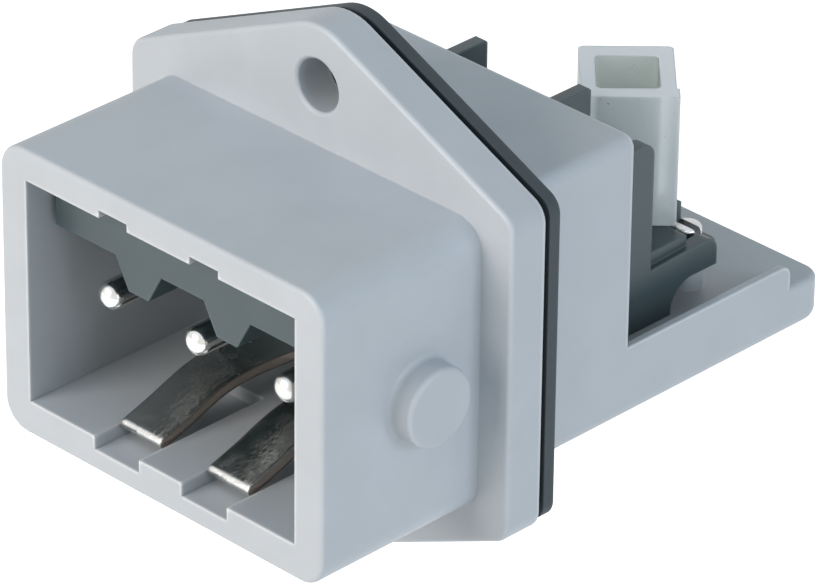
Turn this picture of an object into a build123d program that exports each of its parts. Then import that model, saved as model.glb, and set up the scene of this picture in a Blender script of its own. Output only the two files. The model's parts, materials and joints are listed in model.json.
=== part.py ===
from build123d import *
import os

os.makedirs("parts", exist_ok=True)

# Panel-mount power inlet: three poles and two bowed earth strips.
# Millimetres. +X to the right, +Y into the panel, +Z up.
# Origin: centre of the gasket's rear face, on the mating axis.

# Shroud
shroud_w = 32.0
shroud_h = 22.8
shroud_len = 15.05
shroud_corner_r = 2.2
wall_top = 2.35
wall_bottom = 2.75
mouth_edge_r = 0.35

# Flange and gasket
flange_t = 3.2
gasket_lip_t = 0.7
gasket_body_t = 1.0
flange_side_out = 2.85
flange_apex_z = 21.1
flange_slope = 0.454
flange_side_r = 1.8
flange_apex_r = 4.8
flange_edge_r = 0.35
hole_z = 15.95
hole_r = 2.0
hole_chamfer = 0.2
gasket_hole_r = 2.25
gasket_clear = 0.3
gasket_lip_inset = 1.0
gasket_body_inset = 0.25

# Rear box and tray
box_half_w = 14.45
box_top_z = 11.35
box_low_z = -11.4
box_len = 11.75
box_corner_r = 0.9
box_wall = 1.5
tray_end_y = 32.85
tray_floor_z = -7.25
tray_wall_top_z = -5.55
tray_wall_end_y = 28.95
tray_wall_t = 0.6
tray_fall_y = 20.0
tray_lip_z = -7.7
tray_lip_r = 0.4
tray_corner_r = 1.75
tray_step_r = 0.9
tray_low_edge_r = 1.1
core_margin_side = 2.9
core_margin_end = 2.4
core_depth = 2.2

# Depth by which one shape runs into the next, and how near an edge is picked
join = 0.5
near = 0.01

# Cavity, and the carrier's keying ledge in it
cavity_back_y = -2.4
cavity_side_step = 0.35
ledge_setback = 2.25
ledge_z = 4.95
tooth_z = 2.6
tooth_half_top = 2.3
tooth_half_bottom = 1.0
floor_groove_w = 4.5
floor_groove_d = 1.05
floor_groove_len = 12.0
top_groove_w = 2.8
top_groove_d = 0.6
top_groove_x = 4.5

# Latch pegs
peg_r = 3.0
peg_out = 2.0
peg_y_behind_mouth = 9.3
peg_z = 0.2
peg_edge_r = 0.35
peg_root_r = 0.4

# Pole pins
pole_pitch = 8.8
pin_z = 0.3
pin_r = 1.1
pin_tip_behind_mouth = 3.0
pin_tip_r = 0.85
pin_collar_r = 1.7
pin_collar_t = 0.8
pin_root_r = 1.35
spigot_r = 0.7
rivet_r = 0.95
rivet_t = 0.4
press_clear = 0.02

# Earth strips
strip_x = 4.4
strip_w = 4.0
strip_t = 0.9
strip_tip_behind_mouth = 2.3
strip_tip_rise = 0.0
strip_nose_r = 0.4
strip_tip_slope = 0.32
strip_bow = ((2.75, 0.424), (6.55, 1.039), (11.5, 1.088))
strip_root_z = -6.6
strip_end_y = 7.6

# Contact carrier
carrier_clear = 0.2
plate_t = 6.2
cheek_x = 11.4
cheek_t = 1.1
cheek_top_z = 7.8
cheek_rear_y = 17.3
cheek_top_r = 1.2
arm_top_z = -2.45
arm_under_z = -4.85
arm_rise = 0.3
arm_end_y = 24.3
arm_end_r = 1.1
foot_rear_y = 19.5
foot_arc_r = 2.15
carrier_foot_gap = 0.05
barrier_x = 5.1
barrier_t = 1.0
barrier_top_z = 10.0
barrier_rear_y = 16.8
barrier_inner_top_z = 9.0
barrier_chamfer = 0.2
barrier_step_gap = 0.4
divider_t = 0.8
divider_top_z = 7.0
deck_top_z = -1.7
deck_under_z = -4.0
deck_end_y = 25.0
cross_wall_y = 11.2
cross_wall_t = 1.0
cross_wall_top_z = 7.6
ear_in_x = 7.2
ear_top_z = -3.5
ear_front_y = 21.6
ear_end_y = 25.2
ear_corner_r = 0.8

# Terminals
outer_cage_x = 7.95
inner_cage_x = 2.5
cage_w = 4.0
cage_y0 = 12.4
cage_len = 4.0
cage_bottom_z = -1.55
cage_floor_t = 0.6
cage_side_t = 0.5
cage_roof_t = 0.9
cage_h = 4.65
cage_corner_r = 0.3
bar_t = 0.8
bar_w = 2.4
bar_leg_half_w = 1.3
bar_under_z = 1.3
bar_end_y = 16.3
bar_slot_clear = 0.15
pole_leg_foot_z = -1.0
earth_leg_y = 6.0
screw_r = 1.45
screw_clear = 0.05
screw_tip_gap = 0.05
screw_head_r = 1.8
screw_head_z = 5.2
screw_head_t = 1.5
screw_head_edge_r = 0.25
screw_tip_chamfer = 0.2
slot_w = 0.6
slot_d = 0.6
link_t = 0.8
link_half_w = 6.4
link_len = 1.8
link_y = 6.3

# Carrier fixing screws
fix_x = 8.8
fix_y = 23.9
fix_head_r = 1.1
fix_head_t = 1.0
fix_shank_r = 0.8
fix_len = 4.8
fix_clear_r = 1.0
fix_pilot_r = 0.85
fix_pilot_depth = 3.9
fix_seat_clear = 0.1
post_r = 1.3

# Touch guard, standing turned by guard_turn about its boss
guard_x = 4.15
guard_y = 22.15
guard_turn = 45.0
guard_half_u = 3.45
guard_plate_u = 3.65
guard_half_v = 3.9
guard_side_wall = 1.15
guard_far_wall = 1.5
guard_near_wall = 1.3
guard_bottom_z = -1.65
guard_top_z = 8.8
guard_floor_t = 1.0
guard_corner_r = 0.45
boss_r = 2.0
boss_h = 1.1
boss_clear = 0.05

# Positions that follow from the sizes above
gasket_t = gasket_lip_t + gasket_body_t
flange_half_w = shroud_w / 2 + flange_side_out
face_y = -(flange_t + gasket_t)
mouth_y = face_y - shroud_len
cavity_w = 2 * (box_half_w - box_wall + cavity_side_step)
cavity_top = shroud_h / 2 - wall_top
cavity_bottom = -(shroud_h / 2 - wall_bottom)
peg_y = mouth_y + peg_y_behind_mouth
plate_y = cavity_back_y + carrier_clear
plate_rear_y = plate_y + plate_t
box_in_w = box_half_w - box_wall
box_in_top = box_top_z - box_wall
pin_tip_y = mouth_y + pin_tip_behind_mouth
strip_tip_y = mouth_y + strip_tip_behind_mouth
strip_tip_z = cavity_bottom + strip_tip_rise
bar_top_z = bar_under_z + bar_t
screw_y = cage_y0 + cage_len / 2
ledge_top_z = cavity_top - carrier_clear
cheek_in = cheek_x - cheek_t
cheek_foot_z = tray_floor_z + carrier_foot_gap
pole_xs = (-pole_pitch, 0.0, pole_pitch)
cage_xs = (-outer_cage_x, -inner_cage_x, outer_cage_x, inner_cage_x)


def flange_outline(inset):
    # hexagon with upright sides and slanting tops, rounded round both holes
    half = flange_half_w - inset
    apex = flange_apex_z - inset * (1 + flange_slope ** 2) ** 0.5
    side = apex - flange_slope * half
    points = [(half, -side), (half, side), (0, apex), (-half, side), (-half, -side), (0, -apex)]
    Polygon(*points, align=None)


def upright_plane(y):
    # sketch plane facing the mouth: local x along +X, local y along +Z
    return Plane(origin=(0, y, 0), x_dir=(1, 0, 0), z_dir=(0, -1, 0))


def flange_sketch(y, inset, hole_radius):
    with BuildSketch(upright_plane(y)) as outline:
        flange_outline(inset)
        sides = [v for v in outline.vertices() if abs(v.X) > 1]
        fillet(sides, flange_side_r - inset)
        apexes = [v for v in outline.vertices() if abs(v.X) < near]
        fillet(apexes, flange_apex_r - inset)
        with Locations((0, hole_z), (0, -hole_z)):
            Circle(hole_radius, mode=Mode.SUBTRACT)
    return outline


# Housing: shroud, flange, rear box, tray and pegs in one moulding
with BuildPart() as housing:
    # flange plate, its front edge softly rounded
    flange = flange_sketch(face_y, 0, hole_r)
    extrude(flange.sketch, amount=-flange_t)
    front = housing.faces().sort_by(Axis.Y)[0]
    fillet(front.outer_wire().edges(), flange_edge_r)
    hole_edges = [
        e
        for e in housing.edges().filter_by(GeomType.CIRCLE)
        if abs(e.radius - hole_r) < near and abs(e.center().Y - face_y) < near
    ]
    chamfer(hole_edges, hole_chamfer)
    # shroud
    with BuildSketch(upright_plane(face_y)):
        RectangleRounded(shroud_w, shroud_h, shroud_corner_r)
    extrude(amount=shroud_len)
    rim_face = housing.faces().sort_by(Axis.Y)[0]
    fillet(rim_face.outer_wire().edges(), mouth_edge_r)
    # rear box up to the open rear
    with BuildSketch(upright_plane(face_y + flange_t)):
        with Locations((0, (box_top_z + box_low_z) / 2)):
            RectangleRounded(2 * box_half_w, box_top_z - box_low_z, box_corner_r)
    extrude(amount=-(box_len - face_y - flange_t))
    # tray slab, its floor falling a little to the lip, with rounded rear corners
    with BuildSketch(Plane.YZ.offset(-box_half_w)):
        Polygon(
            (box_len - join, box_low_z),
            (tray_end_y, box_low_z),
            (tray_end_y, tray_lip_z),
            (tray_fall_y, tray_floor_z),
            (box_len - join, tray_floor_z),
            align=None,
        )
    extrude(amount=2 * box_half_w)
    rear = housing.edges().filter_by(Axis.Z).sort_by(Axis.Y)[-2:]
    fillet(rear, tray_corner_r)
    # side walls of the tray, ending in a rounded step down to the lip
    for wall_x in (-box_half_w, box_half_w - tray_wall_t):
        with BuildSketch(Plane.YZ.offset(wall_x)) as side_wall:
            with BuildLine():
                Polyline(
                    (box_len - join, tray_lip_z - join),
                    (tray_wall_end_y, tray_lip_z - join),
                    (tray_wall_end_y, tray_wall_top_z),
                    (box_len - join, tray_wall_top_z),
                    close=True,
                )
            make_face()
            step = side_wall.vertices().group_by(Axis.Y)[-1].sort_by(Axis.X)[-1]
            fillet(step, tray_step_r)
        extrude(amount=tray_wall_t)
    # lower edges of box and tray follow the box's corner radius
    low_edges = [
        e
        for e in housing.edges().filter_by(Axis.Y)
        if abs(e.center().Z - box_low_z) < near
        and e.center().Y > box_len
        and abs(e.center().X) > box_half_w - near
    ]
    fillet(low_edges, tray_low_edge_r)
    # soft upper edge all round the lip
    lip_edge = [
        e
        for e in housing.edges()
        if e.center().Y > tray_end_y - tray_corner_r and e.center().Z > tray_lip_z - join
    ]
    fillet(lip_edge, tray_lip_r)
    # inside of the rear box, open to the rear
    with BuildSketch(upright_plane(cavity_back_y)):
        with Locations((0, (box_in_top + tray_floor_z) / 2)):
            Rectangle(2 * box_in_w, box_in_top - tray_floor_z)
    extrude(amount=-(box_len - cavity_back_y), mode=Mode.SUBTRACT)
    # shroud cavity
    with BuildSketch(upright_plane(mouth_y)):
        with Locations((0, (cavity_top + cavity_bottom) / 2)):
            Rectangle(cavity_w, cavity_top - cavity_bottom)
    extrude(amount=-(cavity_back_y - mouth_y), mode=Mode.SUBTRACT)
    # floor grooves under the strips and grooves in the cavity's top
    with BuildSketch(upright_plane(mouth_y)):
        with Locations((-strip_x, cavity_bottom), (strip_x, cavity_bottom)):
            Rectangle(floor_groove_w, 2 * floor_groove_d)
    extrude(amount=-floor_groove_len, mode=Mode.SUBTRACT)
    with BuildSketch(upright_plane(mouth_y)):
        with Locations((-top_groove_x, cavity_top), (top_groove_x, cavity_top)):
            Rectangle(top_groove_w, 2 * top_groove_d)
    extrude(amount=-floor_groove_len, mode=Mode.SUBTRACT)
    # underside of box and tray cored out
    with BuildSketch(Plane.XY.offset(box_low_z)):
        with Locations((0, tray_end_y / 2)):
            Rectangle(2 * (box_half_w - core_margin_side), tray_end_y - 2 * core_margin_end)
    extrude(amount=core_depth, mode=Mode.SUBTRACT)
    # posts for the fixing screws
    with BuildSketch(Plane.XY.offset(tray_floor_z - join)):
        with Locations((-fix_x, fix_y), (fix_x, fix_y)):
            Circle(post_r)
    extrude(amount=arm_under_z - tray_floor_z + join - carrier_foot_gap)
    with BuildSketch(Plane.XY.offset(arm_under_z)):
        with Locations((-fix_x, fix_y), (fix_x, fix_y)):
            Circle(fix_pilot_r)
    extrude(amount=-fix_pilot_depth, mode=Mode.SUBTRACT)
    # latch pegs on both sides of the shroud
    for side in (-1, 1):
        peg_plane = Plane(origin=(side * (shroud_w / 2 - join), peg_y, peg_z), z_dir=(side, 0, 0))
        with BuildSketch(peg_plane):
            Circle(peg_r)
        extrude(amount=join + peg_out)
    peg_ends = [
        e
        for e in housing.edges().filter_by(GeomType.CIRCLE)
        if abs(e.radius - peg_r) < near and abs(abs(e.center().X) - shroud_w / 2 - peg_out) < near
    ]
    fillet(peg_ends, peg_edge_r)
    peg_roots = [
        e
        for e in housing.edges().filter_by(GeomType.CIRCLE)
        if abs(e.radius - peg_r) < near and abs(abs(e.center().X) - shroud_w / 2) < near
    ]
    fillet(peg_roots, peg_root_r)


# Flange gasket: a set-back lip and a full body round the rear box
with BuildPart() as flange_gasket:
    lip = flange_sketch(-gasket_t, gasket_lip_inset, gasket_hole_r)
    extrude(lip.sketch, amount=-gasket_lip_t)
    body = flange_sketch(-gasket_body_t, gasket_body_inset, gasket_hole_r)
    extrude(body.sketch, amount=-gasket_body_t)
    with BuildSketch(upright_plane(-gasket_t)):
        with Locations((0, (box_top_z + box_low_z) / 2)):
            RectangleRounded(
                2 * (box_half_w + gasket_clear),
                box_top_z - box_low_z + 2 * gasket_clear,
                box_corner_r + gasket_clear,
            )
    extrude(amount=-gasket_t, mode=Mode.SUBTRACT)


# Contact carrier: keying ledge, base plate, cheeks, barriers, deck and ears in one moulding
with BuildPart() as contact_carrier:
    with BuildSketch(upright_plane(plate_y)):
        with Locations((0, (box_in_top + tray_floor_z) / 2)):
            Rectangle(
                2 * (box_in_w - carrier_clear), box_in_top - tray_floor_z - 2 * carrier_clear
            )
    extrude(amount=-plate_t)
    # keying ledge reaching forward under the cavity's top, with two hanging teeth
    with BuildSketch(upright_plane(mouth_y + ledge_setback)):
        with Locations((0, (ledge_top_z + ledge_z) / 2)):
            Rectangle(2 * (box_in_w - carrier_clear), ledge_top_z - ledge_z)
        for x in (-strip_x, strip_x):
            Polygon(
                (x - tooth_half_top, ledge_z),
                (x - tooth_half_bottom, tooth_z),
                (x + tooth_half_bottom, tooth_z),
                (x + tooth_half_top, ledge_z),
                align=None,
            )
    extrude(amount=-(plate_y + join - mouth_y - ledge_setback))
    # cheek outline in the side view, L-shaped with a foot and an arm
    for side in (-1, 1):
        with BuildSketch(Plane.YZ.offset(side * (cheek_x - cheek_t / 2) - cheek_t / 2)) as cheek:
            with BuildLine():
                Line((plate_rear_y - join, cheek_foot_z), (foot_rear_y, cheek_foot_z))
                Line((foot_rear_y, cheek_foot_z), (foot_rear_y, arm_under_z - foot_arc_r))
                RadiusArc(
                    (foot_rear_y, arm_under_z - foot_arc_r),
                    (foot_rear_y + foot_arc_r, arm_under_z),
                    foot_arc_r,
                )
                Polyline(
                    (foot_rear_y + foot_arc_r, arm_under_z),
                    (arm_end_y, arm_under_z),
                    (arm_end_y, arm_top_z),
                    (cheek_rear_y, arm_top_z - arm_rise),
                    (cheek_rear_y, cheek_top_z),
                    (plate_rear_y - join, cheek_top_z),
                    (plate_rear_y - join, cheek_foot_z),
                )
            make_face()
            top = cheek.vertices().group_by(Axis.Y)[-1].sort_by(Axis.X)[-1]
            fillet(top, cheek_top_r)
            arm_end = cheek.vertices().group_by(Axis.X)[-1].sort_by(Axis.Y)[-1]
            fillet(arm_end, arm_end_r)
        extrude(amount=cheek_t)
    # barriers between the bays, taller behind the box
    for x in (-barrier_x, barrier_x):
        with BuildSketch(Plane.YZ.offset(x - barrier_t / 2)) as barrier:
            with BuildLine():
                Polyline(
                    (plate_rear_y - join, deck_under_z),
                    (barrier_rear_y, deck_under_z),
                    (barrier_rear_y, barrier_top_z - barrier_chamfer),
                    (barrier_rear_y - barrier_chamfer, barrier_top_z),
                    (box_len + barrier_step_gap, barrier_top_z),
                    (box_len + barrier_step_gap, barrier_inner_top_z),
                    (plate_rear_y - join, barrier_inner_top_z),
                    close=True,
                )
            make_face()
        extrude(amount=barrier_t)
    # low divider in the middle bay
    with BuildSketch(Plane.YZ.offset(-divider_t / 2)):
        with Locations(((cross_wall_y + barrier_rear_y) / 2, (deck_under_z + divider_top_z) / 2)):
            Rectangle(barrier_rear_y - cross_wall_y, divider_top_z - deck_under_z)
    extrude(amount=divider_t)
    # deck, stepped down at both ears
    with BuildSketch(Plane.XY.offset(deck_under_z)):
        with Locations((0, (plate_rear_y - join + ear_front_y) / 2)):
            Rectangle(2 * cheek_x - cheek_t, ear_front_y - plate_rear_y + join)
        with Locations((0, (ear_front_y + deck_end_y) / 2)):
            Rectangle(2 * ear_in_x, deck_end_y - ear_front_y)
    extrude(amount=deck_top_z - deck_under_z)
    for side in (-1, 1):
        with BuildSketch(Plane.XY.offset(arm_under_z)) as ear:
            with Locations((side * (ear_in_x + cheek_in) / 2, (ear_front_y - join + ear_end_y) / 2)):
                Rectangle(cheek_in - ear_in_x + 2 * join, ear_end_y - ear_front_y + join)
            ear_rear = ear.vertices().sort_by(Axis.Y)[-2:]
            fillet(ear_rear, ear_corner_r)
        extrude(amount=ear_top_z - arm_under_z)
    # cross wall in front of the terminals
    with BuildSketch(upright_plane(cross_wall_y)):
        with Locations((0, (deck_under_z + cross_wall_top_z) / 2)):
            Rectangle(2 * cheek_x - cheek_t, cross_wall_top_z - deck_under_z)
    extrude(amount=-cross_wall_t)
    # boss for the guard
    with BuildSketch(Plane.XY.offset(deck_top_z - join)):
        with Locations((guard_x, guard_y)):
            Circle(boss_r)
    extrude(amount=boss_h + join)
    # holes for pins, collars, strips and bars
    with BuildSketch(upright_plane(plate_y)):
        with Locations([(x, pin_z) for x in pole_xs]):
            Circle(pin_root_r + press_clear)
    extrude(amount=-plate_t, mode=Mode.SUBTRACT)
    with BuildSketch(upright_plane(plate_y)):
        with Locations([(x, pin_z) for x in pole_xs]):
            Circle(pin_collar_r + press_clear)
    extrude(amount=-(pin_collar_t + press_clear), mode=Mode.SUBTRACT)
    with BuildSketch(upright_plane(plate_y)):
        with Locations((-strip_x, strip_root_z), (strip_x, strip_root_z)):
            Rectangle(strip_w + 2 * bar_slot_clear, strip_t + 2 * bar_slot_clear)
    extrude(amount=-plate_t, mode=Mode.SUBTRACT)
    with BuildSketch(upright_plane(cross_wall_y)):
        with Locations([(x, bar_under_z + bar_t / 2) for x in cage_xs]):
            Rectangle(bar_w + 2 * bar_slot_clear, bar_t + 2 * bar_slot_clear)
    extrude(amount=-cross_wall_t, mode=Mode.SUBTRACT)
    with BuildSketch(Plane.XY.offset(deck_under_z)):
        with Locations((inner_cage_x, earth_leg_y + bar_t / 2)):
            Rectangle(bar_w + 2 * bar_slot_clear, bar_t + 2 * bar_slot_clear)
    extrude(amount=deck_top_z - deck_under_z, mode=Mode.SUBTRACT)
    with BuildSketch(Plane.XY.offset(arm_under_z)):
        with Locations((-fix_x, fix_y), (fix_x, fix_y)):
            Circle(fix_clear_r)
    extrude(amount=ear_top_z - arm_under_z, mode=Mode.SUBTRACT)
    with BuildSketch(Plane.XY.offset(ear_top_z)):
        with Locations((-fix_x, fix_y), (fix_x, fix_y)):
            Circle(fix_head_r + fix_seat_clear)
    extrude(amount=-ear_top_z + deck_top_z, mode=Mode.SUBTRACT)


# Pole pins: domed tip, collar, root, spigot and riveted end
def pole_pin(x):
    with BuildPart() as pin:
        with BuildSketch(Plane.XY):
            with BuildLine():
                Line((0, pin_tip_y), (pin_r - pin_tip_r, pin_tip_y))
                RadiusArc((pin_r - pin_tip_r, pin_tip_y), (pin_r, pin_tip_y + pin_tip_r), -pin_tip_r)
                Polyline(
                    (pin_r, pin_tip_y + pin_tip_r),
                    (pin_r, plate_y),
                    (pin_collar_r, plate_y),
                    (pin_collar_r, plate_y + pin_collar_t),
                    (pin_root_r, plate_y + pin_collar_t),
                    (pin_root_r, plate_rear_y),
                    (spigot_r, plate_rear_y),
                    (spigot_r, plate_rear_y + bar_t + 2 * press_clear),
                    (rivet_r, plate_rear_y + bar_t + 2 * press_clear),
                    (rivet_r, plate_rear_y + bar_t + 2 * press_clear + rivet_t),
                    (0, plate_rear_y + bar_t + 2 * press_clear + rivet_t),
                    (0, pin_tip_y),
                )
            make_face()
        revolve(axis=Axis.Y)
    return pin.part.moved(Location((x, 0, pin_z)))


# Pole bars: upright leg riveted to the pin, flat leg through the cage
def pole_bar(pin_x, cage_x):
    low_x = min(pin_x - bar_leg_half_w, cage_x - bar_w / 2)
    high_x = max(pin_x + bar_leg_half_w, cage_x + bar_w / 2)
    leg_y = plate_rear_y + press_clear
    with BuildPart() as bar:
        with BuildSketch(upright_plane(leg_y)):
            with Locations(((low_x + high_x) / 2, (pole_leg_foot_z + bar_top_z) / 2)):
                Rectangle(high_x - low_x, bar_top_z - pole_leg_foot_z)
            with Locations((pin_x, pin_z)):
                Circle(spigot_r + press_clear, mode=Mode.SUBTRACT)
        extrude(amount=-bar_t)
        with BuildSketch(Plane.XY.offset(bar_under_z)):
            with Locations((cage_x, (leg_y + bar_end_y) / 2)):
                Rectangle(bar_w, bar_end_y - leg_y)
        extrude(amount=bar_t)
    return bar.part


# Earth strips: bowed flat springs with a rounded nose, each bow point a way along and a share of the rise
def earth_strip(x):
    with BuildPart() as strip:
        with BuildSketch(Plane.YZ.offset(x - strip_w / 2)):
            with BuildLine():
                half = strip_t / 2
                path = [(strip_tip_y, strip_tip_z)]
                bow_h = strip_root_z - strip_tip_z
                path += [(strip_tip_y + along, strip_tip_z + share * bow_h) for along, share in strip_bow]
                path += [(cavity_back_y, strip_root_z)]
                ends = [(1, strip_tip_slope), (1, 0)]
                top = Spline([(y, z + half) for y, z in path], tangents=ends)
                low = Spline([(y, z - half) for y, z in path], tangents=ends)
                Line(top @ 0, low @ 0)
                Polyline(
                    top @ 1,
                    (strip_end_y, strip_root_z + half),
                    (strip_end_y, strip_root_z - half),
                    low @ 1,
                )
            make_face()
        extrude(amount=strip_w)
        nose = strip.edges().filter_by(Axis.X).sort_by(Axis.Y)[:2]
        fillet(nose, strip_nose_r)
    return strip.part


# Earth link across both strips, and the bar from it to the earth terminal
with BuildPart() as earth_link:
    with BuildSketch(Plane.XY.offset(strip_root_z + strip_t / 2)):
        with Locations((0, link_y)):
            Rectangle(2 * link_half_w, link_len)
    extrude(amount=link_t)

with BuildPart() as earth_bar:
    leg_foot_z = strip_root_z + strip_t / 2 + link_t
    with BuildSketch(upright_plane(earth_leg_y)):
        with Locations((inner_cage_x, (leg_foot_z + bar_top_z) / 2)):
            Rectangle(bar_w, bar_top_z - leg_foot_z)
    extrude(amount=-bar_t)
    with BuildSketch(Plane.XY.offset(bar_under_z)):
        with Locations((inner_cage_x, (earth_leg_y + bar_end_y) / 2)):
            Rectangle(bar_w, bar_end_y - earth_leg_y)
    extrude(amount=bar_t)


# Rising cage: a frame open to the front and rear, tapped through its roof
def terminal_cage(x):
    with BuildPart() as cage:
        with BuildSketch(upright_plane(cage_y0)):
            with Locations((x, cage_bottom_z + cage_h / 2)):
                RectangleRounded(cage_w, cage_h, cage_corner_r)
        extrude(amount=-cage_len)
        open_h = cage_h - cage_floor_t - cage_roof_t
        with BuildSketch(upright_plane(cage_y0)):
            with Locations((x, cage_bottom_z + cage_floor_t + open_h / 2)):
                Rectangle(cage_w - 2 * cage_side_t, open_h)
        extrude(amount=-cage_len, mode=Mode.SUBTRACT)
        with BuildSketch(Plane.XY.offset(cage_bottom_z + cage_h)):
            with Locations((x, screw_y)):
                Circle(screw_r + screw_clear)
        extrude(amount=-cage_roof_t, mode=Mode.SUBTRACT)
    return cage.part


# Slotted screw, standing upright
def slotted_screw(x, y, tip_z, seat_z, shank_radius, head_radius, head_height):
    with BuildPart() as screw:
        with BuildSketch(Plane.XY.offset(tip_z)):
            with Locations((x, y)):
                Circle(shank_radius)
        extrude(amount=seat_z - tip_z)
        with BuildSketch(Plane.XY.offset(seat_z)):
            with Locations((x, y)):
                Circle(head_radius)
        extrude(amount=head_height)
        head_edge = screw.edges().filter_by(GeomType.CIRCLE).sort_by(Axis.Z)[-1]
        fillet(head_edge, screw_head_edge_r)
        tip_edge = screw.edges().filter_by(GeomType.CIRCLE).sort_by(Axis.Z)[0]
        chamfer(tip_edge, screw_tip_chamfer)
        with BuildSketch(Plane.XY.offset(seat_z + head_height)):
            with Locations((x, y)):
                Rectangle(3 * head_radius, slot_w)
        extrude(amount=-slot_d, mode=Mode.SUBTRACT)
    return screw.part


# Touch guard: an open-topped sleeve that turns on the deck's boss
guard_plane = Plane(origin=(guard_x, guard_y, guard_bottom_z), z_dir=(0, 0, 1)).rotated(
    (0, 0, guard_turn)
)
with BuildPart() as touch_guard:
    guard_h = guard_top_z - guard_bottom_z
    with BuildSketch(guard_plane):
        RectangleRounded(2 * guard_half_u, 2 * guard_half_v, guard_corner_r)
    extrude(amount=guard_h)
    with BuildSketch(guard_plane):
        with Locations(((guard_plate_u - guard_half_u) / 2, -guard_half_v + guard_near_wall / 2)):
            Rectangle(guard_plate_u + guard_half_u, guard_near_wall)
    extrude(amount=guard_h)
    with BuildSketch(guard_plane.offset(guard_floor_t)):
        pocket_v = 2 * guard_half_v - guard_far_wall - guard_near_wall
        with Locations((0, (guard_near_wall - guard_far_wall) / 2)):
            RectangleRounded(2 * (guard_half_u - guard_side_wall), pocket_v, guard_corner_r)
    extrude(amount=guard_h, mode=Mode.SUBTRACT)
    with BuildSketch(guard_plane):
        Circle(boss_r + boss_clear)
    extrude(amount=guard_floor_t, mode=Mode.SUBTRACT)


pieces = {
    "housing": housing.part,
    "flange_gasket": flange_gasket.part,
    "contact_carrier": contact_carrier.part,
    "earth_link": earth_link.part,
    "earth_bar": earth_bar.part,
    "touch_guard": touch_guard.part,
    "earth_strip_1": earth_strip(-strip_x),
    "earth_strip_2": earth_strip(strip_x),
}
for number in (1, 2, 3):
    pieces[f"pole_pin_{number}"] = pole_pin(pole_xs[number - 1])
    pieces[f"pole_bar_{number}"] = pole_bar(pole_xs[number - 1], cage_xs[number - 1])
for number in (1, 2, 3, 4):
    cage_x = cage_xs[number - 1]
    pieces[f"terminal_cage_{number}"] = terminal_cage(cage_x)
    pieces[f"terminal_screw_{number}"] = slotted_screw(
        cage_x,
        screw_y,
        bar_top_z + screw_tip_gap,
        screw_head_z,
        screw_r,
        screw_head_r,
        screw_head_t,
    )
for number, x in ((1, -fix_x), (2, fix_x)):
    pieces[f"carrier_screw_{number}"] = slotted_screw(
        x, fix_y, ear_top_z - fix_len, ear_top_z, fix_shank_r, fix_head_r, fix_head_t
    )

for name, part in pieces.items():
    part.label = name
    export_step(part, f"parts/{name}.step")
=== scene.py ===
import json
import math

import bmesh
import bpy
from mathutils import Matrix, Vector

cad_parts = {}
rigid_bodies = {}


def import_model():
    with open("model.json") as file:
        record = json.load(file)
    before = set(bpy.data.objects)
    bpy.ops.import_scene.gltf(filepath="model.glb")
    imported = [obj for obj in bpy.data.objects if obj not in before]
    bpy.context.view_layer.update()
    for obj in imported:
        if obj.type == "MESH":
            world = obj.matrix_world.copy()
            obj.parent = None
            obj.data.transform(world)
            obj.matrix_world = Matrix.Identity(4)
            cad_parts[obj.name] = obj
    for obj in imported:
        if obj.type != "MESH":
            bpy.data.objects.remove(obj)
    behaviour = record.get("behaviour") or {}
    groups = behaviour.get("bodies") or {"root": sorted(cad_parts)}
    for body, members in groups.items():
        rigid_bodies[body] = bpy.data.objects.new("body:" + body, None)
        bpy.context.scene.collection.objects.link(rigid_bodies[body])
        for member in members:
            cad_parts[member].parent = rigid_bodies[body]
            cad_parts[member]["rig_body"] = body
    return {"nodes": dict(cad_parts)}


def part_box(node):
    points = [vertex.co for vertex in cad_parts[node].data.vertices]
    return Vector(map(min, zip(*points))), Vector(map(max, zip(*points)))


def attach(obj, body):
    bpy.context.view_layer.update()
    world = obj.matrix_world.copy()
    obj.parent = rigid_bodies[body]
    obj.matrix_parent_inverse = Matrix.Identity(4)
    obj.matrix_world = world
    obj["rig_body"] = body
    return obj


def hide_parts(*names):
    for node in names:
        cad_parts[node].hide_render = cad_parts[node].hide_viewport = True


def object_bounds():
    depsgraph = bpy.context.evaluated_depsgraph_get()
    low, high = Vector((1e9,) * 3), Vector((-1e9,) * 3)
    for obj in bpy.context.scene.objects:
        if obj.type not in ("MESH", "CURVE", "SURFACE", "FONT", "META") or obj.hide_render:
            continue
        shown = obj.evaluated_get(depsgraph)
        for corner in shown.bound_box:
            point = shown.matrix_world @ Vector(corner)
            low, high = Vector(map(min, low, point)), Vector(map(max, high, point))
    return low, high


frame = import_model()
CAD_LOW, CAD_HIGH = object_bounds()

bl_info = {
    "name": "Panel power inlet",
    "version": (1, 0, 0),
    "blender": (4, 5, 0),
    "location": "3D View > Sidebar > Inlet",
    "description": "Finishes, screws and studio for a panel mount power inlet",
    "category": "Object",
}

MM = 0.001

GREY_NODES = ("housing",)
GASKET_NODES = ("flange_gasket",)
CARRIER_NODES = ("contact_carrier",)
GUARD_NODES = ("touch_guard",)
PIN_NODES = tuple(f"pole_pin_{n}" for n in (1, 2, 3))
STRIP_NODES = tuple(f"earth_strip_{n}" for n in (1, 2))
BAR_NODES = tuple(f"pole_bar_{n}" for n in (1, 2, 3)) + ("earth_link", "earth_bar")
CAGE_NODES = tuple(f"terminal_cage_{n}" for n in (1, 2, 3, 4))
CLAMP_SCREWS = tuple(f"terminal_screw_{n}" for n in (1, 2, 3, 4))
FIXING_SCREWS = tuple(f"carrier_screw_{n}" for n in (1, 2))

# Smoothing: faces that meet below these angles, in degrees, share one rounded shade
CAD_SMOOTH_ANGLE = 28.0
SCREW_SMOOTH_ANGLE = 35.0

# Relief of the mould grain
GRAIN_DEPTH = 0.03 * MM
GRAIN_STRENGTH = 0.25

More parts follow.
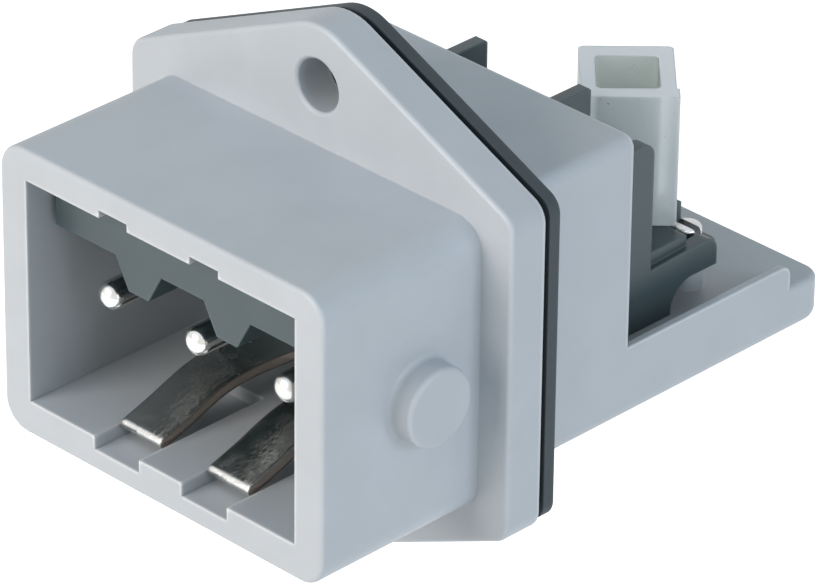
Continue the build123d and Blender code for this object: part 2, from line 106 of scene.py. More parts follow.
# Screws: the share of the thread's height that is flat at crest and root, the steps of the round forms,
# the rounding of a head's upper edge, and how far the shank reaches into the head
THREAD_FLAT = 0.1
THREAD_STEPS = 28
RINGS_PER_PITCH = 6
HEAD_STEPS = 48
HEAD_EDGE_STEPS = 5
HEAD_EDGE = 0.25 * MM
SHANK_OVERLAP = 0.02 * MM

# Studio: each softbox has its name, place, the setting that holds its power, and its colour
SOFTBOX_SIDE = 0.30
SOFTBOXES = (
    ("front_softbox", (-0.10, -0.43, 0.17), "key_level", (1.0, 0.935, 0.90)),
    ("right_softbox", (0.42, 0.02, 0.12), "side_level", (0.80, 0.88, 1.0)),
    ("top_softbox", (0.0, -0.08, 0.42), "top_level", (0.45, 0.70, 1.0)),
)
ROOM_COLOUR = (0.94, 1.0, 0.92, 1.0)
SEEN_WHITE = (1.0, 1.0, 1.0, 1.0)
FLOOR_COLOUR = (0.80, 0.80, 0.80, 1.0)
FLOOR_LIFT = 0.78
FLOOR_RADIUS = 2.5


# Settings

class MouldingSettings(bpy.types.PropertyGroup):
    """Colours and grain of the moulded pieces"""

    grey: bpy.props.FloatVectorProperty(
        name="Grey",
        description="Colour of the housing",
        subtype="COLOR",
        default=(0.495, 0.53, 0.562),
        min=0.0,
        max=1.0,
    )
    # Painted highlight: lighter grey laid along the housing's outer edges
    edge_highlight_grey: bpy.props.FloatVectorProperty(
        name="Edge grey",
        description="Lighter colour that the housing's outer edges take",
        subtype="COLOR",
        default=(0.88, 0.89, 0.90),
        min=0.0,
        max=1.0,
    )
    black: bpy.props.FloatVectorProperty(
        name="Black",
        description="Colour of the contact carrier",
        subtype="COLOR",
        default=(0.047, 0.071, 0.078),
        min=0.0,
        max=1.0,
    )
    rubber: bpy.props.FloatVectorProperty(
        name="Rubber",
        description="Colour of the gasket",
        subtype="COLOR",
        default=(0.030, 0.043, 0.050),
        min=0.0,
        max=1.0,
    )
    guard_tint: bpy.props.FloatVectorProperty(
        name="Guard tint",
        description="Tint of the translucent guard",
        subtype="COLOR",
        default=(0.78, 0.835, 0.84),
        min=0.0,
        max=1.0,
    )
    # Painted highlight: light colour laid on the guard's edges and on its upward-looking rim
    guard_rim_highlight: bpy.props.FloatVectorProperty(
        name="Guard rim",
        description="Colour of the guard's rim and edges",
        subtype="COLOR",
        default=(0.96, 0.98, 1.0),
        min=0.0,
        max=1.0,
    )
    # Painted shade: darker colour laid in the guard's pocket near its axis
    guard_pocket_shade: bpy.props.FloatVectorProperty(
        name="Guard inside",
        description="Colour of the guard's pocket",
        subtype="COLOR",
        default=(0.60, 0.66, 0.62),
        min=0.0,
        max=1.0,
    )
    guard_clearness: bpy.props.FloatProperty(
        name="Guard clearness",
        description="How much light the guard lets through",
        subtype="FACTOR",
        default=0.45,
        min=0.0,
        max=1.0,
    )
    grain_size: bpy.props.FloatProperty(
        name="Grain size",
        description="Size of the moulds' spark grain",
        unit="LENGTH",
        default=0.00022,
        min=0.00005,
        max=0.002,
    )
    mottle_size: bpy.props.FloatProperty(
        name="Mottle size",
        description="Size of the soft flow marks in the plastic",
        unit="LENGTH",
        default=0.0045,
        min=0.001,
        max=0.05,
    )
    # Also sets the width of the painted highlight along the moulded edges
    edge_width: bpy.props.FloatProperty(
        name="Edge width",
        description="Width of the softened and lightened edges",
        unit="LENGTH",
        default=0.00024,
        min=0.00001,
        max=0.001,
    )


class MetalSettings(bpy.types.PropertyGroup):
    """Colours of the contacts, bars, cages and screws"""

    plating: bpy.props.FloatVectorProperty(
        name="Plating",
        description="Colour of the plated pins and strips",
        subtype="COLOR",
        default=(0.80, 0.80, 0.77),
        min=0.0,
        max=1.0,
    )
    tin: bpy.props.FloatVectorProperty(
        name="Tin",
        description="Colour of the tinned bars",
        subtype="COLOR",
        default=(0.62, 0.62, 0.60),
        min=0.0,
        max=1.0,
    )
    brass: bpy.props.FloatVectorProperty(
        name="Brass",
        description="Colour of the terminal cages",
        subtype="COLOR",
        default=(0.62, 0.44, 0.19),
        min=0.0,
        max=1.0,
    )
    cut_metal: bpy.props.FloatVectorProperty(
        name="Cut metal",
        description="Colour of the bare metal at the strips' cut sides",
        subtype="COLOR",
        default=(0.30, 0.215, 0.16),
        min=0.0,
        max=1.0,
    )
    steel: bpy.props.FloatVectorProperty(
        name="Steel",
        description="Colour of the zinc plated screws",
        subtype="COLOR",
        default=(0.66, 0.67, 0.68),
        min=0.0,
        max=1.0,
    )
    thread_pitch: bpy.props.FloatProperty(
        name="Thread pitch",
        description="Rise of the screws' thread in one turn",
        unit="LENGTH",
        default=0.0005,
        min=0.0002,
        max=0.002,
    )
    thread_depth: bpy.props.FloatProperty(
        name="Thread depth",
        description="Depth of the screws' thread",
        unit="LENGTH",
        default=0.00027,
        min=0.00005,
        max=0.001,
    )
    slot_width: bpy.props.FloatProperty(
        name="Slot width",
        description="Width of the slot in the screws' heads",
        unit="LENGTH",
        default=0.0006,
        min=0.0001,
        max=0.002,
    )
    slot_depth: bpy.props.FloatProperty(
        name="Slot depth",
        description="Depth of the slot in the screws' heads",
        unit="LENGTH",
        default=0.0006,
        min=0.0001,
        max=0.002,
    )


class StudioSettings(bpy.types.PropertyGroup):
    """Camera, floor and lights"""

    azimuth: bpy.props.FloatProperty(
        name="Azimuth",
        description="Camera's angle round the inlet, from straight in front of the mouth",
        subtype="ANGLE",
        default=math.radians(44.524),
    )
    elevation: bpy.props.FloatProperty(
        name="Elevation",
        description="Camera's angle above the horizon",
        subtype="ANGLE",
        default=math.radians(29.668),
    )
    roll: bpy.props.FloatProperty(
        name="Roll",
        description="Camera's turn about its own line of sight",
        subtype="ANGLE",
        default=math.radians(0.672),
    )
    place: bpy.props.FloatVectorProperty(
        name="Place",
        description="Where the camera stands",
        subtype="TRANSLATION",
        unit="LENGTH",
        default=(0.28322, -0.28353, 0.22602),
    )
    lens: bpy.props.FloatProperty(
        name="Focal length",
        description="Focal length for a sensor 36 mm wide, in millimetres",
        default=287.4,
        min=10.0,
        max=2000.0,
    )
    floor_drop: bpy.props.FloatProperty(
        name="Floor drop",
        description="Distance from the flange's lower tip down to the floor",
        unit="LENGTH",
        default=0.055,
        min=0.0,
        max=1.0,
    )
    key_level: bpy.props.FloatProperty(
        name="Key level",
        description="Power of the softbox in front of the mouth, in watts",
        default=1.85,
        min=0.0,
        max=100.0,
    )
    side_level: bpy.props.FloatProperty(
        name="Side level",
        description="Power of the softbox on the right, in watts",
        default=0.93,
        min=0.0,
        max=100.0,
    )
    top_level: bpy.props.FloatProperty(
        name="Top level",
        description="Power of the softbox overhead, in watts",
        default=0.30,
        min=0.0,
        max=100.0,
    )
    room_level: bpy.props.FloatProperty(
        name="Room level",
        description="Strength of the even light from all round",
        default=0.235,
        min=0.0,
        max=5.0,
    )


# Shader node groups shared by the materials

def add_socket(group, name, direction, kind="NodeSocketFloat", default=None):
    made = group.interface.new_socket(name=name, in_out=direction, socket_type=kind)
    if default is not None:
        made.default_value = default


def new_group(name):
    group = bpy.data.node_groups.new(name, "ShaderNodeTree")
    start = group.nodes.new("NodeGroupInput")
    end = group.nodes.new("NodeGroupOutput")
    return group, start, end


def math_node(tree, operation, first, second):
    node = tree.nodes.new("ShaderNodeMath")
    node.operation = operation
    for index, value in enumerate((first, second)):
        if isinstance(value, (int, float)):
            node.inputs[index].default_value = value
        else:
            tree.links.new(value, node.inputs[index])
    return node.outputs[0]


def map_range(tree, value, low, high, to_low, to_high):
    node = tree.nodes.new("ShaderNodeMapRange")
    tree.links.new(value, node.inputs["Value"])
    for name, number in (("From Min", low), ("From Max", high), ("To Min", to_low), ("To Max", to_high)):
        if isinstance(number, (int, float)):
            node.inputs[name].default_value = number
        else:
            tree.links.new(number, node.inputs[name])
    return node.outputs["Result"]


def noise(tree, size, detail=2.0):
    """Noise in the object's own coordinates with features of about the given size in metres"""
    place = tree.nodes.new("ShaderNodeTexCoord").outputs["Object"]
    node = tree.nodes.new("ShaderNodeTexNoise")
    node.inputs["Detail"].default_value = detail
    tree.links.new(place, node.inputs["Vector"])
    tree.links.new(math_node(tree, "DIVIDE", 1.0, size), node.inputs["Scale"])
    return node.outputs["Fac"]


def mould_grain_group():
    """Fine spark grain with soft flow marks"""
    group, start, end = new_group("mould_grain")
    add_socket(group, "Grain size", "INPUT", default=0.0002)
    add_socket(group, "Mottle size", "INPUT", default=0.004)
    add_socket(group, "Contrast", "INPUT", default=0.04)
    add_socket(group, "Height", "OUTPUT")
    add_socket(group, "Tone", "OUTPUT")
    grain = noise(group, start.outputs["Grain size"], detail=3.0)
    mottle = noise(group, start.outputs["Mottle size"], detail=4.0)
    waves = math_node(group, "MULTIPLY", mottle, 0.35)
    height = math_node(group, "ADD", grain, waves)
    low = math_node(group, "SUBTRACT", 1.0, start.outputs["Contrast"])
    high = math_node(group, "ADD", 1.0, start.outputs["Contrast"])
    tone = map_range(group, mottle, 0.3, 0.7, low, high)
    group.links.new(height, end.inputs["Height"])
    group.links.new(tone, end.inputs["Tone"])
    return group


def soft_edge_group():
    """Rounded normal at sharp edges, and a mask of the outer edges that carries a painted highlight"""
    group, start, end = new_group("soft_edge")
    add_socket(group, "Width", "INPUT", default=0.0002)
    add_socket(group, "Normal", "OUTPUT", kind="NodeSocketVector")
    add_socket(group, "Edge", "OUTPUT")
    bevel = group.nodes.new("ShaderNodeBevel")
    bevel.samples = 6
    group.links.new(start.outputs["Width"], bevel.inputs["Radius"])
    inner = group.nodes.new("ShaderNodeAmbientOcclusion")
    inner.inside = True
    inner.only_local = True
    inner.samples = 8
    reach = math_node(group, "MULTIPLY", start.outputs["Width"], 1.6)
    group.links.new(reach, inner.inputs["Distance"])
    # Mask of the outer convex edges, used to lay a painted highlight
    edge = map_range(group, inner.outputs["AO"], 0.85, 0.45, 0.0, 1.0)
    group.links.new(bevel.outputs["Normal"], end.inputs["Normal"])
    group.links.new(edge, end.inputs["Edge"])
    return group


def handled_metal_group():
    """Fine dents and dull patches of plated and handled metal"""
    group, start, end = new_group("handled_metal")
    add_socket(group, "Dent size", "INPUT", default=0.0005)
    add_socket(group, "Smooth", "INPUT", default=0.12)
    add_socket(group, "Dull", "INPUT", default=0.35)
    add_socket(group, "Height", "OUTPUT")
    add_socket(group, "Roughness", "OUTPUT")
    add_socket(group, "Tone", "OUTPUT")
    dents = noise(group, start.outputs["Dent size"], detail=2.0)
    patch_size = math_node(group, "MULTIPLY", start.outputs["Dent size"], 3.0)
    patches = noise(group, patch_size, detail=3.0)
    rough = map_range(group, patches, 0.35, 0.7, start.outputs["Smooth"], start.outputs["Dull"])
    tone = map_range(group, patches, 0.3, 0.75, 1.0, 0.82)
    group.links.new(dents, end.inputs["Height"])
    group.links.new(rough, end.inputs["Roughness"])
    group.links.new(tone, end.inputs["Tone"])
    return group


def cut_sides_group():
    """Mask of the faces that look along X, where the strips were cut from sheet"""
    group, start, end = new_group("cut_sides")
    add_socket(group, "Share", "INPUT", default=0.75)
    add_socket(group, "Side", "OUTPUT")
    shape = group.nodes.new("ShaderNodeNewGeometry")
    parts = group.nodes.new("ShaderNodeSeparateXYZ")
    group.links.new(shape.outputs["True Normal"], parts.inputs[0])
    across = math_node(group, "ABSOLUTE", parts.outputs["X"], 0.0)
    side = math_node(group, "GREATER_THAN", across, 0.8)
    share = math_node(group, "MULTIPLY", side, start.outputs["Share"])
    group.links.new(share, end.inputs["Side"])
    return group


def guard_zones_group():
    """Masks of the guard's rim, which looks up, and of its pocket, which lies near its axis; they carry a
    painted highlight on the rim and painted shade in the pocket
    """
    group, start, end = new_group("guard_zones")
    add_socket(group, "Axis", "INPUT", kind="NodeSocketVector")
    add_socket(group, "Reach", "INPUT", default=0.0034)
    add_socket(group, "Rim", "OUTPUT")
    add_socket(group, "Pocket", "OUTPUT")
    shape = group.nodes.new("ShaderNodeNewGeometry")
    parts = group.nodes.new("ShaderNodeSeparateXYZ")
    group.links.new(shape.outputs["True Normal"], parts.inputs[0])
    rim = math_node(group, "GREATER_THAN", parts.outputs["Z"], 0.7)
    place = group.nodes.new("ShaderNodeTexCoord").outputs["Object"]
    off = group.nodes.new("ShaderNodeVectorMath")
    off.operation = "SUBTRACT"
    group.links.new(place, off.inputs[0])
    group.links.new(start.outputs["Axis"], off.inputs[1])
    flat = group.nodes.new("ShaderNodeVectorMath")
    flat.operation = "MULTIPLY"
    flat.inputs[1].default_value = (1.0, 1.0, 0.0)
    group.links.new(off.outputs[0], flat.inputs[0])
    far = group.nodes.new("ShaderNodeVectorMath")
    far.operation = "LENGTH"
    group.links.new(flat.outputs[0], far.inputs[0])
    pocket = math_node(group, "LESS_THAN", far.outputs["Value"], start.outputs["Reach"])
    only_pocket = math_node(group, "SUBTRACT", pocket, rim)
    group.links.new(rim, end.inputs["Rim"])
    group.links.new(math_node(group, "MAXIMUM", only_pocket, 0.0), end.inputs["Pocket"])
    return group


# Materials

def start_material(name):
    material = bpy.data.materials.new(name)
    material.use_nodes = True
    tree = material.node_tree
    shader = tree.nodes["Principled BSDF"]
    return material, tree, shader


def place_group(tree, name, **values):
    node = tree.nodes.new("ShaderNodeGroup")
    node.node_tree = bpy.data.node_groups[name]
    for key, value in values.items():
        node.inputs[key.replace("_", " ").capitalize()].default_value = value
    return node


def mix_colour(tree, mask, first, second):
    node = tree.nodes.new("ShaderNodeMix")
    node.data_type = "RGBA"
    for index, value in ((0, mask), (6, first), (7, second)):
        if isinstance(value, bpy.types.NodeSocket):
            tree.links.new(value, node.inputs[index])
        elif index == 0:
            node.inputs[index].default_value = value
        else:
            node.inputs[index].default_value = (*value, 1.0)
    return node.outputs[2]


def toned(tree, colour, tone):
    """Colour made a little lighter or darker by a tone near 1"""
    node = tree.nodes.new("ShaderNodeVectorMath")
    node.operation = "SCALE"
    if isinstance(colour, bpy.types.NodeSocket):
        tree.links.new(colour, node.inputs[0])
    else:
        node.inputs[0].default_value = colour
    tree.links.new(tone, node.inputs["Scale"])
    return node.outputs[0]


def add_bump(tree, shader, height, distance, strength, normal=None):
    bump = tree.nodes.new("ShaderNodeBump")
    bump.inputs["Strength"].default_value = strength
    bump.inputs["Distance"].default_value = distance
    tree.links.new(height, bump.inputs["Height"])
    if normal:
        tree.links.new(normal, bump.inputs["Normal"])
    tree.links.new(bump.outputs["Normal"], shader.inputs["Normal"])


def moulded_material(name, colour, highlight_colour, roughness, contrast, highlight_share):
    """Moulded plastic or rubber with grain, flow marks and softened edges lightened by a painted highlight"""
    settings = bpy.context.scene.inlet_mouldings
    material, tree, shader = start_material(name)
    grain = place_group(
        tree,
        "mould_grain",
        grain_size=settings.grain_size,
        mottle_size=settings.mottle_size,
        contrast=contrast,
    )
    edges = place_group(tree, "soft_edge", width=settings.edge_width)
    # Painted highlight: the edge mask mixes a lighter colour into the base colour along the outer edges
    share = math_node(tree, "MULTIPLY", edges.outputs["Edge"], highlight_share)
    paint = mix_colour(tree, share, tuple(colour), tuple(highlight_colour))
    tree.links.new(toned(tree, paint, grain.outputs["Tone"]), shader.inputs["Base Color"])
    rough = map_range(tree, grain.outputs["Height"], 0.3, 0.9, roughness - 0.05, roughness + 0.05)
    tree.links.new(rough, shader.inputs["Roughness"])
    add_bump(tree, shader, grain.outputs["Height"], GRAIN_DEPTH, GRAIN_STRENGTH, edges.outputs["Normal"])
    return material, tree, shader


def metal_material(
    name, colour, dent_size, smooth, dull, bump_depth, bump_strength, cut_colour=None, edge_width=0.12 * MM
):
    """Plated or handled metal with fine dents and dull patches, and bare cut sides where a colour is given"""
    material, tree, shader = start_material(name)
    shader.inputs["Metallic"].default_value = 1.0
    marks = place_group(tree, "handled_metal", dent_size=dent_size, smooth=smooth, dull=dull)
    edges = place_group(tree, "soft_edge", width=edge_width)
    paint = tuple(colour)
    if cut_colour:
        sides = place_group(tree, "cut_sides")
        paint = mix_colour(tree, sides.outputs["Side"], paint, tuple(cut_colour))
    tree.links.new(toned(tree, paint, marks.outputs["Tone"]), shader.inputs["Base Color"])
    tree.links.new(marks.outputs["Roughness"], shader.inputs["Roughness"])
    add_bump(tree, shader, marks.outputs["Height"], bump_depth, bump_strength, edges.outputs["Normal"])
    return material, tree, shader


def finish_nodes(names, material):
    """Gives CAD nodes a material and smooths their round faces"""
    for name in names:
        node = frame["nodes"][name]
        node.data.materials.clear()
        node.data.materials.append(material)
        node.data.shade_smooth()
        node.data.set_sharp_from_angle(angle=math.radians(CAD_SMOOTH_ANGLE))


# Screws with real threads

def helical_radius(z, turn, pitch, crest, root):
    """Radius of a thread with flat crest and root, at a height and a share of a turn"""
    phase = (z / pitch - turn) % 1.0
    rise = 1.0 - abs(2.0 * phase - 1.0)
    share = (rise - THREAD_FLAT) / (1.0 - 2.0 * THREAD_FLAT)
    return root + (crest - root) * min(1.0, max(0.0, share))


def close_rows(mesh, rows):
    """Joins rings of vertices, lowest first, into a closed round form"""
    steps = len(rows[0])
    for lower, upper in zip(rows, rows[1:]):
        for step in range(steps):
            after = (step + 1) % steps
            mesh.faces.new((lower[step], lower[after], upper[after], upper[step]))
    mesh.faces.new(list(reversed(rows[0])))
    mesh.faces.new(rows[-1])


def threaded_shank(mesh, centre, low, high, crest, root, pitch):
    """Adds a closed threaded cylinder to a bmesh, its thread fading out at both ends"""
    rings = max(8, int((high - low) / pitch * RINGS_PER_PITCH))
    fade = 1.2 * pitch
    rows = []
    for ring in range(rings + 1):
        z = low + (high - low) * ring / rings
        near_end = min(z - low, high - z) / fade
        share = min(1.0, near_end)
        row = []
        for step in range(THREAD_STEPS):
            turn = step / THREAD_STEPS
            radius = helical_radius(z, turn, pitch, crest, root)
            radius = root + (radius - root) * share
            angle = 2 * math.pi * turn
            spot = (centre.x + radius * math.cos(angle), centre.y + radius * math.sin(angle), z)
            row.append(mesh.verts.new(spot))
        rows.append(row)
    close_rows(mesh, rows)


def turned_head(mesh, centre, low, high, radius):
    """Adds a closed round head with a rounded upper edge to a bmesh"""
    profile = [(radius, low)]
    for bend in range(HEAD_EDGE_STEPS + 1):
        angle = math.pi / 2 * bend / HEAD_EDGE_STEPS
        across = radius - HEAD_EDGE + HEAD_EDGE * math.cos(angle)
        profile.append((across, high - HEAD_EDGE + HEAD_EDGE * math.sin(angle)))
    rows = []
    for across, z in profile:
        row = []
        for step in range(HEAD_STEPS):
            angle = 2 * math.pi * step / HEAD_STEPS
            spot = (centre.x + across * math.cos(angle), centre.y + across * math.sin(angle), z)
            row.append(mesh.verts.new(spot))
        rows.append(row)
    close_rows(mesh, rows)


def object_from(mesh, name):
    data = bpy.data.meshes.new(name)
    mesh.to_mesh(data)
    mesh.free()
    made = bpy.data.objects.new(name, data)
    bpy.context.scene.collection.objects.link(made)
    return made


def slot_cutter(centre, top, radius, width, depth):
    mesh = bmesh.new()
    size = Vector((3 * radius, width, 2 * depth))
    place = Matrix.Translation((centre.x, centre.y, top))
    bmesh.ops.create_cube(mesh, size=1.0, matrix=place @ Matrix.Diagonal((*size, 1.0)))
    return object_from(mesh, "slot_cutter")


def make_screw(node, shank_radius, head_height, thread_share):
    """A slotted screw with its thread, standing where the CAD node stands"""
    settings = bpy.context.scene.inlet_metals
    low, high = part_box(node)
    centre = (low + high) / 2
    head_radius = (high.x - low.x) / 2
    seat = high.z - head_height
    head = bmesh.new()
    turned_head(head, centre, seat, high.z, head_radius)
    piece = object_from(head, node + "_threaded")
    cutter = slot_cutter(centre, high.z, head_radius, settings.slot_width, settings.slot_depth)
    cut = piece.modifiers.new("slot", "BOOLEAN")
    cut.operation = "DIFFERENCE"
    cut.solver = "EXACT"
    cut.object = cutter
    bpy.context.view_layer.update()
    evaluated = piece.evaluated_get(bpy.context.evaluated_depsgraph_get())
    slotted = bpy.data.meshes.new_from_object(evaluated)
    whole = bmesh.new()
    whole.from_mesh(slotted)
    threaded_shank(
        whole,
        centre,
        low.z,
        seat + SHANK_OVERLAP,
        shank_radius,
        shank_radius - thread_share * settings.thread_depth,
        thread_share * settings.thread_pitch,
    )
    piece.modifiers.clear()
    whole.to_mesh(piece.data)
    whole.free()
    bpy.data.meshes.remove(slotted)
    bpy.data.objects.remove(cutter)
    piece.data.shade_smooth()
    piece.data.set_sharp_from_angle(angle=math.radians(SCREW_SMOOTH_ANGLE))
    return piece


# Studio

def aim(thing, target):
    thing.rotation_mode = "QUATERNION"
    thing.rotation_quaternion = (target - thing.location).to_track_quat("-Z", "Y")


def softbox(name, place, target, watts, colour):
    light = bpy.data.lights.new(name, "AREA")
    light.shape = "RECTANGLE"
    light.size = SOFTBOX_SIDE
    light.size_y = SOFTBOX_SIDE
    light.energy = watts
    light.color = colour
    lamp = bpy.data.objects.new(name, light)
    bpy.context.scene.collection.objects.link(lamp)
    lamp.location = place
    aim(lamp, target)
    return lamp


def seen_directly(tree):
    """1 for rays from the camera and for those seen in metal or through the guard"""
    path = tree.nodes.new("ShaderNodeLightPath")
    seen = math_node(
        tree, "MAXIMUM", path.outputs["Is Camera Ray"], path.outputs["Is Transmission Ray"]
    )
    return math_node(tree, "MAXIMUM", seen, path.outputs["Is Glossy Ray"])


# Operators

class INLET_OT_housing(bpy.types.Operator):
    """Give the housing its grey moulded finish"""

    bl_idname = "inlet.housing"
    bl_label = "Finish housing"

    def execute(self, context):
        settings = context.scene.inlet_mouldings
        material, _, _ = moulded_material(
            "grey_moulding", settings.grey, settings.edge_highlight_grey, roughness=0.42, contrast=0.03, highlight_share=0.75
        )
        finish_nodes(GREY_NODES, material)
        return {"FINISHED"}


class INLET_OT_gasket(bpy.types.Operator):
    """Give the gasket its black rubber finish"""

    bl_idname = "inlet.gasket"
    bl_label = "Finish gasket"

    def execute(self, context):
        rubber = context.scene.inlet_mouldings.rubber
        # Painted highlight: lighter rubber colour laid along the gasket's edges
        rubber_highlight = tuple(1.8 * share for share in rubber)
        material, _, _ = moulded_material(
            "gasket_rubber", rubber, rubber_highlight, roughness=0.62, contrast=0.10, highlight_share=0.5
        )
        finish_nodes(GASKET_NODES, material)
        return {"FINISHED"}


class INLET_OT_carrier(bpy.types.Operator):
    """Give the contact carrier its black moulded finish"""

    bl_idname = "inlet.carrier"
    bl_label = "Finish carrier"

    def execute(self, context):
        black = context.scene.inlet_mouldings.black
        # Painted highlight: lighter black laid along the carrier's edges
        black_highlight = tuple(2.2 * share for share in black)
        material, _, _ = moulded_material(
            "black_moulding", black, black_highlight, roughness=0.36, contrast=0.08, highlight_share=0.5
        )
        finish_nodes(CARRIER_NODES, material)
        return {"FINISHED"}


class INLET_OT_guard(bpy.types.Operator):
    """Give the touch guard its milky translucent finish"""

    bl_idname = "inlet.guard"
    bl_label = "Finish guard"

    def execute(self, context):
        settings = context.scene.inlet_mouldings
        material, tree, shader = moulded_material(
            "clear_moulding",
            settings.guard_tint,
            settings.guard_rim_highlight,
            roughness=0.30,
            contrast=0.03,
            highlight_share=0.9,
        )
        low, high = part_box(GUARD_NODES[0])
        middle = (low + high) / 2
        zones = place_group(tree, "guard_zones", axis=(middle.x, middle.y, 0.0))
        paint = shader.inputs["Base Color"].links[0].from_socket
        # Painted shade in the pocket
        paint = mix_colour(tree, zones.outputs["Pocket"], paint, settings.guard_pocket_shade)
        # Painted highlight on the upward-looking rim, which also lets less light through
        paint = mix_colour(tree, zones.outputs["Rim"], paint, settings.guard_rim_highlight)
        tree.links.new(paint, shader.inputs["Base Color"])
        solid = math_node(tree, "MULTIPLY", zones.outputs["Rim"], -0.8 * settings.guard_clearness)
        clear = math_node(tree, "ADD", solid, settings.guard_clearness)
        tree.links.new(clear, shader.inputs["Transmission Weight"])
        shader.inputs["IOR"].default_value = 1.49
        finish_nodes(GUARD_NODES, material)
        return {"FINISHED"}


class INLET_OT_contacts(bpy.types.Operator):
    """Give pins, strips and bars their plated finish"""

    bl_idname = "inlet.contacts"
    bl_label = "Finish contacts"

    def execute(self, context):
        metals = context.scene.inlet_metals
        pins, _, _ = metal_material(
            "plated_pin",
            metals.plating,
            dent_size=0.9 * MM,
            smooth=0.10,
            dull=0.26,
            bump_depth=0.02 * MM,
            bump_strength=0.15,
        )
        finish_nodes(PIN_NODES, pins)
        strips, _, _ = metal_material(
            "plated_strip",
            metals.plating,
            dent_size=0.45 * MM,
            smooth=0.10,
            dull=0.30,
            bump_depth=0.06 * MM,
            bump_strength=0.4,
            cut_colour=metals.cut_metal,
            edge_width=0.4 * MM,
        )
        finish_nodes(STRIP_NODES, strips)
        bars, _, _ = metal_material(
            "tinned_bar",
            metals.tin,
            dent_size=1.2 * MM,
            smooth=0.28,
            dull=0.45,
            bump_depth=0.02 * MM,
            bump_strength=0.2,
        )
        finish_nodes(BAR_NODES, bars)
        return {"FINISHED"}


class INLET_OT_cages(bpy.types.Operator):
    """Give the terminal cages their brass finish"""

    bl_idname = "inlet.cages"
    bl_label = "Finish cages"

    def execute(self, context):
        brass, _, _ = metal_material(
            "cage_brass",
            context.scene.inlet_metals.brass,
            dent_size=0.8 * MM,
            smooth=0.25,
            dull=0.42,
            bump_depth=0.02 * MM,
            bump_strength=0.2,
        )
        finish_nodes(CAGE_NODES, brass)
        return {"FINISHED"}


class INLET_OT_screws(bpy.types.Operator):
    """Make the slotted screws with real threads"""

    bl_idname = "inlet.screws"
    bl_label = "Make screws"

    clamp_radius: bpy.props.FloatProperty(
        name="Clamp screw radius",
        description="Crest radius of the terminal screws' thread",
        unit="LENGTH",
        default=0.00145,
    )
    clamp_head: bpy.props.FloatProperty(
        name="Clamp screw head",
        description="Height of the terminal screws' heads",
        unit="LENGTH",
        default=0.0015,
    )
    fixing_radius: bpy.props.FloatProperty(
        name="Fixing screw radius",
        description="Crest radius of the carrier screws' thread",
        unit="LENGTH",
        default=0.0008,
    )
    fixing_head: bpy.props.FloatProperty(
        name="Fixing screw head",
        description="Height of the carrier screws' heads",
        unit="LENGTH",
        default=0.001,
    )

    def execute(self, context):
        steel, _, _ = metal_material(
            "zinc_steel",
            context.scene.inlet_metals.steel,
            dent_size=0.6 * MM,
            smooth=0.22,
            dull=0.40,
            bump_depth=0.02 * MM,
            bump_strength=0.25,
        )
        kinds = (
            (CLAMP_SCREWS, self.clamp_radius, self.clamp_head),
            (FIXING_SCREWS, self.fixing_radius, self.fixing_head),
        )
        for names, radius, head in kinds:
            for name in names:
                screw = make_screw(name, radius, head, radius / self.clamp_radius)
                screw.data.materials.append(steel)
                body = frame["nodes"][name]["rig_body"]
                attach(screw, body)
                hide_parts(name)
        return {"FINISHED"}


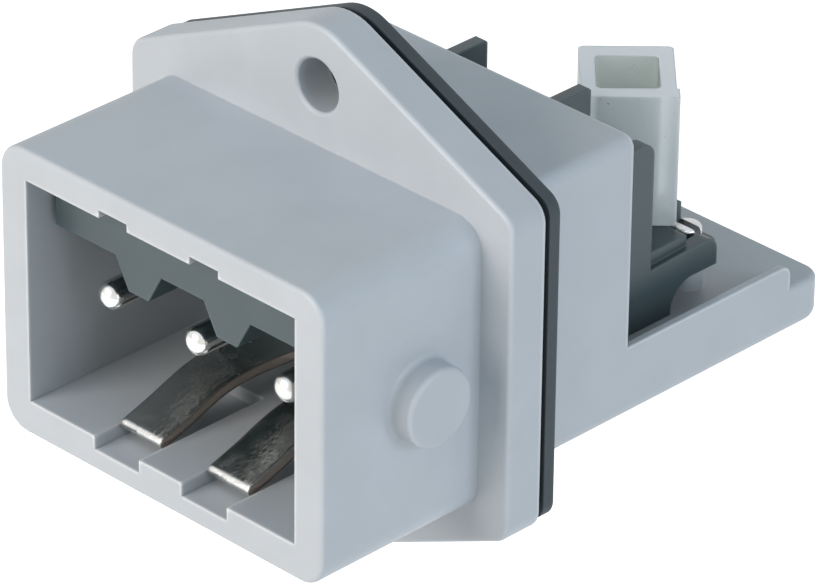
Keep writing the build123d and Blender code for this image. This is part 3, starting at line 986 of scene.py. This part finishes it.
class INLET_OT_studio(bpy.types.Operator):
    """Set up floor, room light, softboxes and camera"""

    bl_idname = "inlet.studio"
    bl_label = "Set up studio"

    def execute(self, context):
        settings = context.scene.inlet_studio
        self.make_room(context, settings)
        self.make_floor(settings)
        middle = (CAD_LOW + CAD_HIGH) / 2
        for name, place, level, colour in SOFTBOXES:
            softbox(name, Vector(place), middle, getattr(settings, level), colour)
        self.make_camera(context, settings)
        context.scene.view_settings.view_transform = "Standard"
        return {"FINISHED"}

    def make_room(self, context, settings):
        world = bpy.data.worlds.new("studio_room")
        context.scene.world = world
        world.use_nodes = True
        tree = world.node_tree
        tree.nodes.clear()
        seen = seen_directly(tree)
        lit = tree.nodes.new("ShaderNodeBackground")
        lit.inputs["Color"].default_value = ROOM_COLOUR
        lit.inputs["Strength"].default_value = settings.room_level
        white = tree.nodes.new("ShaderNodeBackground")
        white.inputs["Color"].default_value = SEEN_WHITE
        white.inputs["Strength"].default_value = 1.0
        mix = tree.nodes.new("ShaderNodeMixShader")
        tree.links.new(seen, mix.inputs[0])
        tree.links.new(lit.outputs[0], mix.inputs[1])
        tree.links.new(white.outputs[0], mix.inputs[2])
        end = tree.nodes.new("ShaderNodeOutputWorld")
        tree.links.new(mix.outputs[0], end.inputs["Surface"])

    def make_floor(self, settings):
        """A pale floor below the inlet that turns white for the camera but keeps the shadow"""
        mesh = bmesh.new()
        bmesh.ops.create_circle(mesh, cap_ends=True, radius=FLOOR_RADIUS, segments=64)
        floor = object_from(mesh, "studio_floor")
        floor.location.z = CAD_LOW.z - settings.floor_drop
        material, tree, shader = start_material("floor_white")
        shader.inputs["Base Color"].default_value = FLOOR_COLOUR
        shader.inputs["Roughness"].default_value = 0.9
        shader.inputs["Specular IOR Level"].default_value = 0.0
        lift = tree.nodes.new("ShaderNodeEmission")
        seen = math_node(tree, "MULTIPLY", seen_directly(tree), FLOOR_LIFT)
        tree.links.new(seen, lift.inputs["Strength"])
        both = tree.nodes.new("ShaderNodeAddShader")
        tree.links.new(shader.outputs[0], both.inputs[0])
        tree.links.new(lift.outputs[0], both.inputs[1])
        tree.links.new(both.outputs[0], tree.nodes["Material Output"].inputs["Surface"])
        floor.data.materials.append(material)

    def make_camera(self, context, settings):
        azimuth, elevation, roll = settings.azimuth, settings.elevation, settings.roll
        back = Vector(
            (
                math.sin(azimuth) * math.cos(elevation),
                -math.cos(azimuth) * math.cos(elevation),
                math.sin(elevation),
            )
        )
        level = Vector((math.cos(azimuth), math.sin(azimuth), 0.0))
        upright = back.cross(level)
        right = math.cos(roll) * level + math.sin(roll) * upright
        up = math.cos(roll) * upright - math.sin(roll) * level
        data = bpy.data.cameras.new("photo_camera")
        data.sensor_width = 36.0
        data.lens = settings.lens
        data.clip_start = 0.01
        data.clip_end = 20.0
        camera = bpy.data.objects.new("photo_camera", data)
        context.scene.collection.objects.link(camera)
        turn = Matrix((right, up, back)).transposed().to_4x4()
        camera.matrix_world = Matrix.Translation(settings.place) @ turn
        context.scene.camera = camera


class INLET_PT_panel(bpy.types.Panel):
    """Sidebar panel with the inlet's settings and steps"""

    bl_idname = "INLET_PT_panel"
    bl_label = "Power inlet"
    bl_space_type = "VIEW_3D"
    bl_region_type = "UI"
    bl_category = "Inlet"

    def draw(self, context):
        scene = context.scene
        for settings in (scene.inlet_mouldings, scene.inlet_metals, scene.inlet_studio):
            box = self.layout.box()
            for name in settings.__annotations__:
                box.prop(settings, name)
        for operator in OPERATORS:
            self.layout.operator(operator.bl_idname)


SETTINGS = (MouldingSettings, MetalSettings, StudioSettings)
OPERATORS = (
    INLET_OT_housing,
    INLET_OT_gasket,
    INLET_OT_carrier,
    INLET_OT_guard,
    INLET_OT_contacts,
    INLET_OT_cages,
    INLET_OT_screws,
    INLET_OT_studio,
)


def register():
    for kind in SETTINGS + OPERATORS + (INLET_PT_panel,):
        bpy.utils.register_class(kind)
    bpy.types.Scene.inlet_mouldings = bpy.props.PointerProperty(type=MouldingSettings)
    bpy.types.Scene.inlet_metals = bpy.props.PointerProperty(type=MetalSettings)
    bpy.types.Scene.inlet_studio = bpy.props.PointerProperty(type=StudioSettings)


def unregister():
    del bpy.types.Scene.inlet_studio
    del bpy.types.Scene.inlet_metals
    del bpy.types.Scene.inlet_mouldings
    for kind in reversed(SETTINGS + OPERATORS + (INLET_PT_panel,)):
        bpy.utils.unregister_class(kind)


def main():
    register()
    mould_grain_group()
    soft_edge_group()
    handled_metal_group()
    cut_sides_group()
    guard_zones_group()
    bpy.ops.inlet.housing()
    bpy.ops.inlet.gasket()
    bpy.ops.inlet.carrier()
    bpy.ops.inlet.guard()
    bpy.ops.inlet.contacts()
    bpy.ops.inlet.cages()
    bpy.ops.inlet.screws()
    bpy.ops.inlet.studio()


if __name__ == "__main__":
    main()
